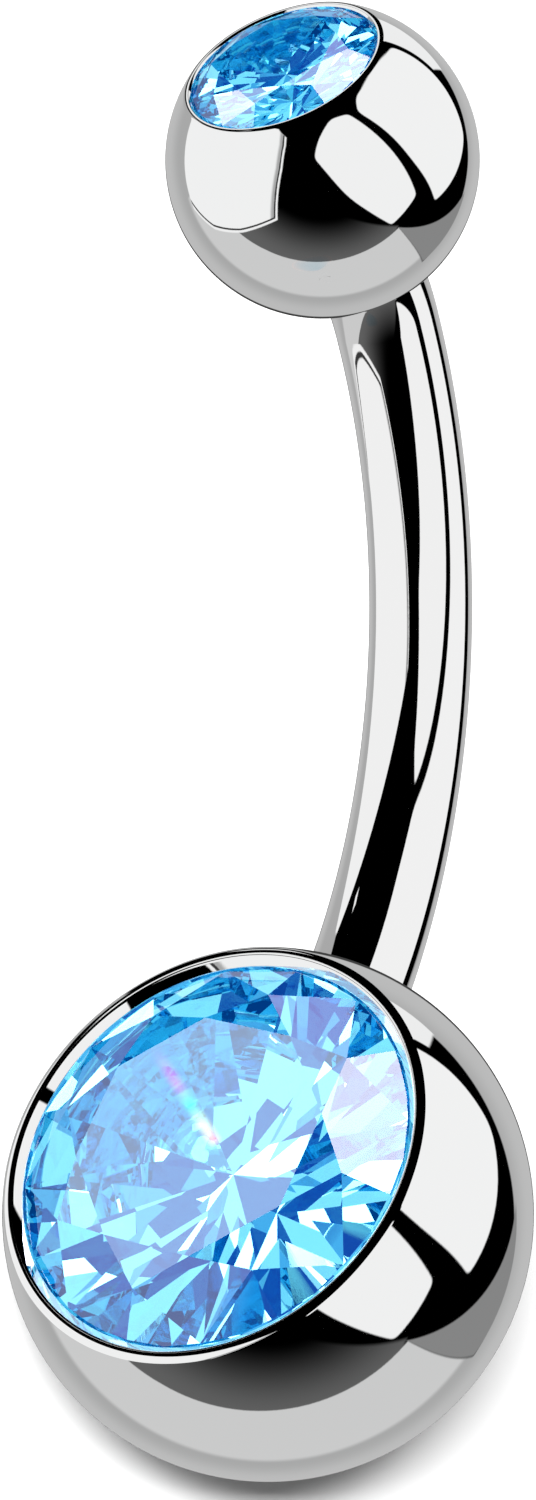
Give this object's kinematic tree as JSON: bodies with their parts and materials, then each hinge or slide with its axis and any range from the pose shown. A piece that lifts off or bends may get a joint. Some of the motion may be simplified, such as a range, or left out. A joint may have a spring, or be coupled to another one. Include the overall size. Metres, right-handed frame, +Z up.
{
  "type": "navel ring",
  "caption": "Curved steel navel bar with a large jewelled ball at its lower end and a small jewelled ball that comes off its top end, lying on its side.",
  "frame": {"origin": "on the surface that the ring lies on, below the middle of its bounding box", "axes": "+Z up, +X level from the lower ball towards the top ball, +Y towards the hollow side of the bar"},
  "size_m": [0.0224, 0.008, 0.008],
  "materials": {
    "bar_steel": "mirror-polished surgical steel",
    "ball_steel": "mirror-polished surgical steel",
    "lower_gem": "polished aqua blue cut stone",
    "top_gem": "polished aqua blue cut stone"
  },
  "bodies": {
    "barbell": {"bar": "bar_steel", "lower_ball": "ball_steel", "lower_stone": "lower_gem"},
    "screw_ball": {"top_ball": "ball_steel", "top_stone": "top_gem"}
  },
  "joints": [
    {"name": "top_ball_off", "type": "slide", "parent": "barbell", "child": "screw_ball", "axis": [0.6862, 0.6338, 0.3569], "range_m": [0, 0.0024]}
  ]
}
